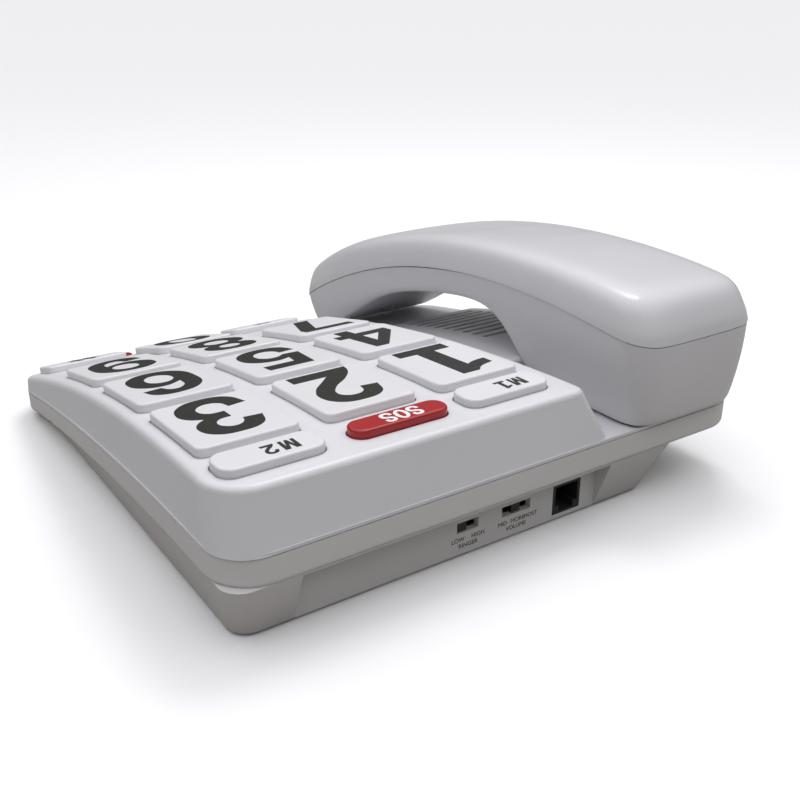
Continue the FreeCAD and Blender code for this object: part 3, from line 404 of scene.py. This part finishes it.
def panel_word(text, x, z):
    """A word in ink on the back panel, centred on x with its foot at z. Millimetres."""
    clear_selection()
    bpy.ops.object.text_add(location=(0, 0, 0))
    piece = bpy.context.object
    piece.data.body = text
    piece.data.align_x = "CENTER"
    piece.data.size = LETTER_HEIGHT / 0.7
    piece.data.extrude = INK_FILM / 2
    bpy.ops.object.convert(target="MESH")
    piece = bpy.context.object
    piece.name = "panel_word_" + text.lower()
    piece.data.transform(Matrix.Translation(Vector((x, PANEL_FACE_Y + INK_FILM / 2, z)) * MM)
                         @ Matrix.Rotation(math.pi, 4, "Z") @ Matrix.Rotation(math.pi / 2, 4, "X")
                         @ Matrix.Scale(MM, 4))
    piece.data.materials.clear()
    piece.data.materials.append(dark_ink)
    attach(piece, "base")


for text, x, z in (("LOW", 20.6, LEVEL_FOOT), ("HIGH", 12.8, LEVEL_FOOT), ("RINGER", 16.6, TITLE_FOOT),
                   ("MID", 3.0, LEVEL_FOOT), ("MORE", -3.2, LEVEL_FOOT), ("MOST", -8.6, LEVEL_FOOT),
                   ("VOLUME", -2.6, TITLE_FOOT)):
    panel_word(text, x, z)


# ------------------------------------------------------------ keys and hook plunger
# Satin ABS caps on flanges, one moulding each; the alarm key is red, the rest are white.
# The plunger by the cradle's back end is white acetal.

key_cap = plastic("key_cap_abs", (0.72, 0.72, 0.735), sheen=(0.36, 0.46), grain=1900.0, dust=0.06,
                  shade=0.98)
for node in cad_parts:
    if node.startswith("key_") and len(node) < 14 and node not in ("key_emergency", "keypad_mat"):
        finish_node(node, key_cap)
finish_node("key_emergency", plastic("alarm_key_abs", (0.40, 0.013, 0.017), sheen=(0.28, 0.38),
                                     grain=1900.0, dust=0.03, shade=0.9))
finish_node("hook_plunger", plastic("plunger_acetal", (0.75, 0.75, 0.77), sheen=(0.25, 0.35)))


# ------------------------------------------------------------ handset shells
# Two hollow ABS mouldings that meet at an arched parting line: a crowned back and a lower
# shell with the ear block, the grip's arch and the mouth block. Two screws hold them together.

# Millimetres. The handset's own frame has Y along it, towards the earpiece, and Z out of its back.
HANDSET_PLACE = (Matrix.Translation(Vector((-68.6, -0.9, 45.0)) * MM)
                 @ Matrix.Rotation(math.radians(10.0), 4, "X"))
HALF_WIDTH = 29.75
HALF_LENGTH = 112.0
END_CLEARANCE = 0.6
EDGE_STEP = 0.3
PLAN_CORNER = 13.0
SHELL_WALL = 2.2
CROWN_ROUND = 10.0
BASE_ROUND = 1.4
SIDE_DRAFT = 0.13
EAR_LEAN = 6.5
MOUTH_LEAN = 4.0
PARTING_GAP = 0.16
COLUMNS = [-29.75, -27.2, -24.2, -20.0, -11.75, 0.0, 11.75, 20.0, 24.2, 27.2, 29.75]
FACE_COLUMNS = [-29.75, -28.4, -25.5, -20.0, -11.75, 0.0, 11.75, 20.0, 25.5, 28.4, 29.75]


def parting(s):
    """Height of the line where the two shells meet, at s along the handset."""
    return 15.2 - s * s / 578


def crown(s):
    """Height of the back's middle line, which falls off faster towards the mouthpiece."""
    droop = 5.0 * (max(-s - 60, 0) / 52) ** 2
    return 28.0 - (s + 6) ** 2 / 700 - droop


def eased(value):
    """A smooth step from 0 to 1."""
    value = min(max(value, 0.0), 1.0)
    return value * value * (3 - 2 * value)


def rounded_plan(x, s, half_width, half_length, corner):
    """Move a point of the full rectangle onto a smaller one with rounded corners."""
    x = x * half_width / HALF_WIDTH
    pull = (HALF_LENGTH - half_length) * eased((abs(s) - 62) / (HALF_LENGTH - 62))
    s = s - math.copysign(pull, s)
    u = (abs(x) - (half_width - corner)) / corner
    v = (abs(s) - (half_length - corner)) / corner
    if u > 0 and v > 0:
        reach = max(u, v) / math.hypot(u, v)
        x = math.copysign(half_width - corner + corner * u * reach, x)
        s = math.copysign(half_length - corner + corner * v * reach, s)
    return x, s


def edge_drop(x, s, radius):
    """How far a rounded edge falls away at a point of the full rectangle."""
    inside = min(HALF_WIDTH - abs(x), HALF_LENGTH - abs(s), radius)
    return radius - math.sqrt(radius ** 2 - (radius - inside) ** 2)


def open_box(name, columns, stations, levels, shaped):
    """A grid with its rim extruded down by levels, each point then placed by shaped()."""
    clear_selection()
    wide, long = len(columns) - 1, len(stations) - 1
    bpy.ops.mesh.primitive_grid_add(x_subdivisions=wide, y_subdivisions=long, size=1,
                                    location=(0, 0, 0))
    piece = bpy.context.object
    piece.name = name
    bpy.ops.object.mode_set(mode="EDIT")
    bpy.ops.mesh.select_all(action="SELECT")
    bpy.ops.transform.resize(value=(wide, long, 1))
    bpy.ops.transform.translate(value=(wide / 2, long / 2, 0))
    bpy.ops.mesh.region_to_loop()
    for _ in range(levels):
        bpy.ops.mesh.extrude_region_move(TRANSFORM_OT_translate={"value": (0, 0, -1)})
    bpy.ops.object.mode_set(mode="OBJECT")
    for vertex in piece.data.vertices:
        column, station = round(vertex.co.x), round(vertex.co.y)
        level = 1 + vertex.co.z / levels
        vertex.co = Vector(shaped(columns[column], stations[station], level))
    return piece


def finish_shell(piece, material, cutters=()):
    """Smooth the shell, give it its wall, cut its openings and put it in its place."""
    bpy.context.view_layer.objects.active = piece
    piece.select_set(True)
    bpy.ops.object.mode_set(mode="EDIT")
    bpy.ops.mesh.select_all(action="SELECT")
    bpy.ops.mesh.normals_make_consistent(inside=False)
    bpy.ops.object.mode_set(mode="OBJECT")
    smooth = piece.modifiers.new("Smooth", "SUBSURF")
    smooth.levels = smooth.render_levels = 2
    bpy.ops.object.modifier_apply(modifier=smooth.name)
    wall = piece.modifiers.new("Wall", "SOLIDIFY")
    wall.thickness = SHELL_WALL
    wall.offset = -1
    bpy.ops.object.modifier_apply(modifier=wall.name)
    for cutter in cutters:
        opening = piece.modifiers.new("Opening", "BOOLEAN")
        opening.object = cutter
        opening.solver = "EXACT"
        bpy.ops.object.modifier_apply(modifier=opening.name)
    bpy.ops.object.shade_smooth_by_angle(angle=math.radians(40))
    piece.data.transform(HANDSET_PLACE @ Matrix.Scale(MM, 4))
    piece.data.materials.clear()
    piece.data.materials.append(material)
    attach(piece, "handset")
    for cutter in cutters:
        bpy.data.objects.remove(cutter)


def upper_point(x, s, level):
    """A point of the crowned shell; level 0 is the parting line and 1 the crown."""
    half_width = HALF_WIDTH - EDGE_STEP * level
    half_length = HALF_LENGTH - END_CLEARANCE - 0.5 * level ** 1.5
    px, ps = rounded_plan(x, s, half_width, half_length, PLAN_CORNER)
    top = crown(ps) - 1.2 * (px / HALF_WIDTH) ** 2 - edge_drop(x, s, CROWN_ROUND)
    low = parting(ps) + PARTING_GAP
    return px, ps, low + (top - low) * level


UPPER_STATIONS = [-112, -109.4, -106.2, -102, -94, -82, -66, -50, -34, -17, 0,
                  17, 34, 50, 66, 82, 94, 102, 106.2, 109.4, 112]
UNDERSIDE = [(-112, -16.9), (-88, -16.9), (-81, -14.8), (-69, -10.3), (-57, -5.6), (-43, -0.4),
             (-27, 3.0), (-8, 4.5), (15, 4.7), (28, 3.2), (36, 0.2), (42, -5.4), (46.5, -13.0),
             (50.5, -19.8), (55, -24.8), (112, -35.2)]


def underside(s):
    """Height of the lower shell's bottom along its length."""
    for (start, low), (end, high) in zip(UNDERSIDE, UNDERSIDE[1:]):
        if start <= s <= end:
            return low + (high - low) * (s - start) / (end - start)
    return UNDERSIDE[-1][1]


def lower_point(x, s, level):
    """A point of the lower shell; level 0 is the parting line and 1 the bottom."""
    depth = parting(s) - underside(s)
    half_width = HALF_WIDTH - EDGE_STEP - SIDE_DRAFT * depth * level ** 1.3
    end_lean = EAR_LEAN if s > 0 else MOUTH_LEAN
    half_length = HALF_LENGTH - END_CLEARANCE - end_lean * level ** 1.4
    px, ps = rounded_plan(x, s, half_width, half_length, PLAN_CORNER - 2.5 * level)
    high = parting(ps) - PARTING_GAP
    low = underside(ps) + edge_drop(x, s, BASE_ROUND)
    return px, ps, high + (low - high) * level


LOWER_STATIONS = [-112, -110.6, -107, -102, -95, -88, -81, -69, -57, -43, -27, -8, 15, 28, 36, 42,
                  46.5, 50.5, 55, 60, 70, 82, 94, 102, 107, 110.6, 112]
handset_abs = plastic("handset_abs", (0.66, 0.655, 0.675), sheen=(0.2, 0.28), grain=1700.0, dust=0.0)
back = open_box("handset_back", COLUMNS, UPPER_STATIONS, 2, upper_point)
finish_shell(back, handset_abs)
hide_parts("handset_upper_shell")


def peg(radius, x, y, low, high):
    """A round cutter for one sound hole, in the handset's own millimetres."""
    clear_selection()
    bpy.ops.mesh.primitive_cylinder_add(vertices=16, radius=radius, depth=high - low,
                                        location=(x, y, (low + high) / 2))
    return bpy.context.object


# Each group: its middle along the handset, the holes' radius, their ends, and rings of holes.
holes = []
for middle, radius, low, high, rings in ((75, 1.0, -40, -24, ((0, 1), (5, 6), (10, 12))),
                                         (-74, 0.9, -20, -8, ((0, 1), (4, 6)))):
    for ring, count in rings:
        for step in range(count):
            turn = 2 * math.pi * step / count
            holes.append(peg(radius, ring * math.cos(turn), middle + ring * math.sin(turn), low, high))
clear_selection()
for hole in holes:
    hole.select_set(True)
bpy.context.view_layer.objects.active = holes[0]
bpy.ops.object.join()
sound_holes = bpy.context.object
bpy.ops.object.transform_apply(location=True)

clear_selection()
bpy.ops.mesh.primitive_cube_add(size=1, location=(0, 0, 0))
jack_opening = bpy.context.object
jack_opening.data.transform(Matrix.Translation((0, -104, -8)) @ Matrix.Rotation(math.radians(-10), 4, "X")
                            @ Matrix.Diagonal((10.8, 26.0, 9.8, 1)))

face = open_box("handset_face", FACE_COLUMNS, LOWER_STATIONS, 3, lower_point)
clear_selection()
finish_shell(face, handset_abs, (sound_holes, jack_opening))
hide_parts("handset_lower_shell")


# ------------------------------------------------------------ floor, lights and camera
# A pale table under an even white sky that is brighter overhead, with one soft box for gloss.

clear_selection()
bpy.ops.mesh.primitive_plane_add(size=40, location=(0, 0, 0))
floor = bpy.context.object
floor.name = "floor"
table_top = bpy.data.materials.new("table_top")
table_top.use_nodes = True
paper = table_top.node_tree
seen = paper.nodes.new("ShaderNodeLightPath").outputs["Is Camera Ray"]
paper.nodes["Principled BSDF"].inputs["Roughness"].default_value = 0.85
paper.links.new(mixed(paper, seen, (0.36, 0.345, 0.325, 1), (0.93, 0.93, 0.93, 1)),
                paper.nodes["Principled BSDF"].inputs["Base Color"])
floor.data.materials.append(table_top)

world = bpy.data.worlds.new("studio")
bpy.context.scene.world = world
world.use_nodes = True
sky = world.node_tree
direction = sky.nodes.new("ShaderNodeTexCoord").outputs["Generated"]
split = sky.nodes.new("ShaderNodeSeparateXYZ")
sky.links.new(direction, split.inputs[0])
fade = sky.nodes.new("ShaderNodeValToRGB")
fade.color_ramp.elements[0].position = 0.0
fade.color_ramp.elements[0].color = (0.09, 0.088, 0.086, 1)
fade.color_ramp.elements[1].position = 1.0
fade.color_ramp.elements[1].color = (1.55, 1.55, 1.62, 1)
for height, level in ((0.46, 0.11), (0.74, 1.42)):
    step = fade.color_ramp.elements.new(height)
    step.color = (level, level, level * 1.02, 1)
sky.links.new(split.outputs["Z"], fade.inputs["Fac"])
sky.links.new(fade.outputs["Color"], sky.nodes["Background"].inputs["Color"])
sky.nodes["Background"].inputs["Strength"].default_value = 1.0


def soft_box(name, place, target, width, height, power):
    """A rectangular studio light that faces a target."""
    lamp = bpy.data.lights.new(name, "AREA")
    lamp.shape = "RECTANGLE"
    lamp.size, lamp.size_y, lamp.energy = width, height, power
    piece = bpy.data.objects.new(name, lamp)
    bpy.context.collection.objects.link(piece)
    piece.location = place
    piece.rotation_euler = (Vector(target) - Vector(place)).to_track_quat("-Z", "Y").to_euler()


soft_box("overhead_box", (-0.25, -0.15, 0.75), (-0.03, 0.03, 0.04), 0.3, 0.18, 1.5)

lens = bpy.data.cameras.new("camera")
lens.sensor_width = 36.0
lens.lens = 43.65
camera = bpy.data.objects.new("camera", lens)
bpy.context.collection.objects.link(camera)
camera.location = (0.17839, 0.29862, 0.16310)
camera.rotation_euler = Vector((-0.5155, -0.7602, -0.3955)).to_track_quat("-Z", "Y").to_euler()
bpy.context.scene.camera = camera
bpy.context.scene.view_settings.view_transform = "Standard"
